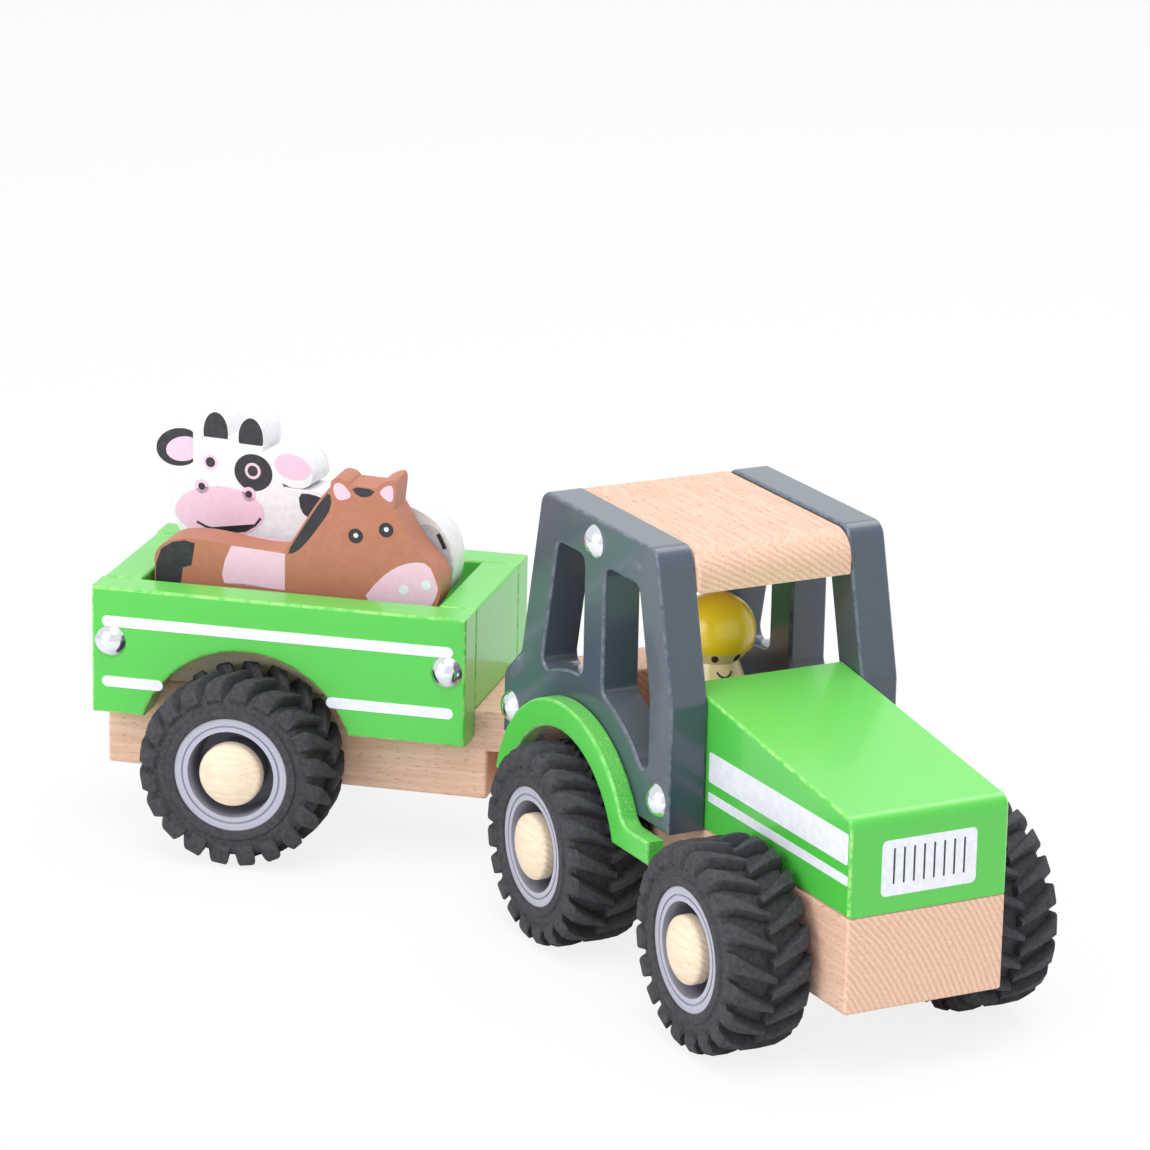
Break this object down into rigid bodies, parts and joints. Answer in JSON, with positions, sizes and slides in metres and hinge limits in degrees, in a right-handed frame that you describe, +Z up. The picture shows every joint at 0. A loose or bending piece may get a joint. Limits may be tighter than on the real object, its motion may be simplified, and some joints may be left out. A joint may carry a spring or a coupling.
{
  "type": "toy tractor",
  "caption": "Wooden toy farm tractor with an open cab, domed screws and lugged rubber tyres, hitched to a box trailer carrying flat cut-out animals.",
  "frame": {"origin": "middle of the footprint of tractor and swung trailer, on the floor", "axes": "+X is the tractor's forward direction, +Y its left side, +Z up"},
  "size_m": [0.3272, 0.1866, 0.1296],
  "materials": {
    "beech": "sanded and waxed, straight grain",
    "pale_wood": "sanded, unpainted",
    "green_painted_wood": "satin paint",
    "slate_painted_wood": "gloss paint",
    "painted_peg": "turned, gloss yellow helmet",
    "brown_painted_wood": "printed and painted",
    "white_painted_wood": "printed and painted",
    "chrome": "polished domes",
    "grey_plastic": "moulded",
    "rubber": "matt, lugged tread"
  },
  "bodies": {
    "tractor": {"chassis": "beech", "hood": "green_painted_wood", "rear_block": "beech", "roof": "beech", "cab_panel_right": "slate_painted_wood", "cab_panel_left": "slate_painted_wood", "mudguard_right": "green_painted_wood", "mudguard_left": "green_painted_wood", "panel_screws": "chrome", "axle_front": "pale_wood", "axle_rear": "pale_wood", "axle_cap_front_right": "pale_wood", "axle_cap_front_left": "pale_wood", "axle_cap_rear_right": "pale_wood", "axle_cap_rear_left": "pale_wood"},
    "trailer": {"trailer_chassis": "beech", "box_floor_block": "beech", "box_end_front": "green_painted_wood", "box_end_rear": "green_painted_wood", "box_side_right": "green_painted_wood", "box_side_left": "green_painted_wood", "box_screws": "chrome", "axle_trailer": "pale_wood", "axle_cap_trailer_right": "pale_wood", "axle_cap_trailer_left": "pale_wood"},
    "hitch_peg": {"hitch_peg": "pale_wood"},
    "driver": {"driver": "painted_peg"},
    "horse": {"horse": "brown_painted_wood"},
    "cow": {"cow": "white_painted_wood"},
    "sheep": {"sheep": "white_painted_wood"},
    "wheel_front_right": {"rim_front_right": "grey_plastic", "tyre_front_right": "rubber"},
    "wheel_front_left": {"rim_front_left": "grey_plastic", "tyre_front_left": "rubber"},
    "wheel_rear_right": {"rim_rear_right": "grey_plastic", "tyre_rear_right": "rubber"},
    "wheel_rear_left": {"rim_rear_left": "grey_plastic", "tyre_rear_left": "rubber"},
    "wheel_trailer_right": {"rim_trailer_right": "grey_plastic", "tyre_trailer_right": "rubber"},
    "wheel_trailer_left": {"rim_trailer_left": "grey_plastic", "tyre_trailer_left": "rubber"}
  },
  "joints": [
    {"name": "wheel_front_right_spin", "type": "hinge", "parent": "tractor", "child": "wheel_front_right", "pos_m": [0.12204, -0.00088, 0.03], "axis": [0, 1, 0], "continuous": true},
    {"name": "wheel_front_left_spin", "type": "hinge", "parent": "tractor", "child": "wheel_front_left", "pos_m": [0.12204, 0.07832, 0.03], "axis": [0, 1, 0], "continuous": true},
    {"name": "wheel_rear_right_spin", "type": "hinge", "parent": "tractor", "child": "wheel_rear_right", "pos_m": [0.02944, -0.00088, 0.03], "axis": [0, 1, 0], "continuous": true},
    {"name": "wheel_rear_left_spin", "type": "hinge", "parent": "tractor", "child": "wheel_rear_left", "pos_m": [0.02944, 0.07832, 0.03], "axis": [0, 1, 0], "continuous": true},
    {"name": "wheel_trailer_right_spin", "type": "hinge", "parent": "trailer", "child": "wheel_trailer_right", "pos_m": [-0.07409, -0.05868, 0.03], "axis": [-0.7478, 0.6639, 0], "continuous": true},
    {"name": "wheel_trailer_left_spin", "type": "hinge", "parent": "trailer", "child": "wheel_trailer_left", "pos_m": [-0.13331, -0.0061, 0.03], "axis": [-0.7478, 0.6639, 0], "continuous": true},
    {"name": "driver_turn", "type": "hinge", "parent": "tractor", "child": "driver", "pos_m": [0.04384, 0.03872, 0.049], "axis": [0, 0, 1], "continuous": true},
    {"name": "hitch_swing", "type": "hinge", "parent": "tractor", "child": "hitch_peg", "pos_m": [-0.04056, 0.03872, 0.0366], "axis": [0, 0, 1], "range_deg": [-108, 11]},
    {"name": "trailer_lift_off", "type": "slide", "parent": "hitch_peg", "child": "trailer", "axis": [0, 0, 1], "range_m": [0, 0.02]},
    {"name": "horse_lift_out", "type": "slide", "parent": "trailer", "child": "horse", "axis": [0, 0, 1], "range_m": [0, 0.04]},
    {"name": "cow_lift_out", "type": "slide", "parent": "trailer", "child": "cow", "axis": [0, 0, 1], "range_m": [0, 0.04]},
    {"name": "sheep_lift_out", "type": "slide", "parent": "trailer", "child": "sheep", "axis": [0, 0, 1], "range_m": [0, 0.04]}
  ]
}
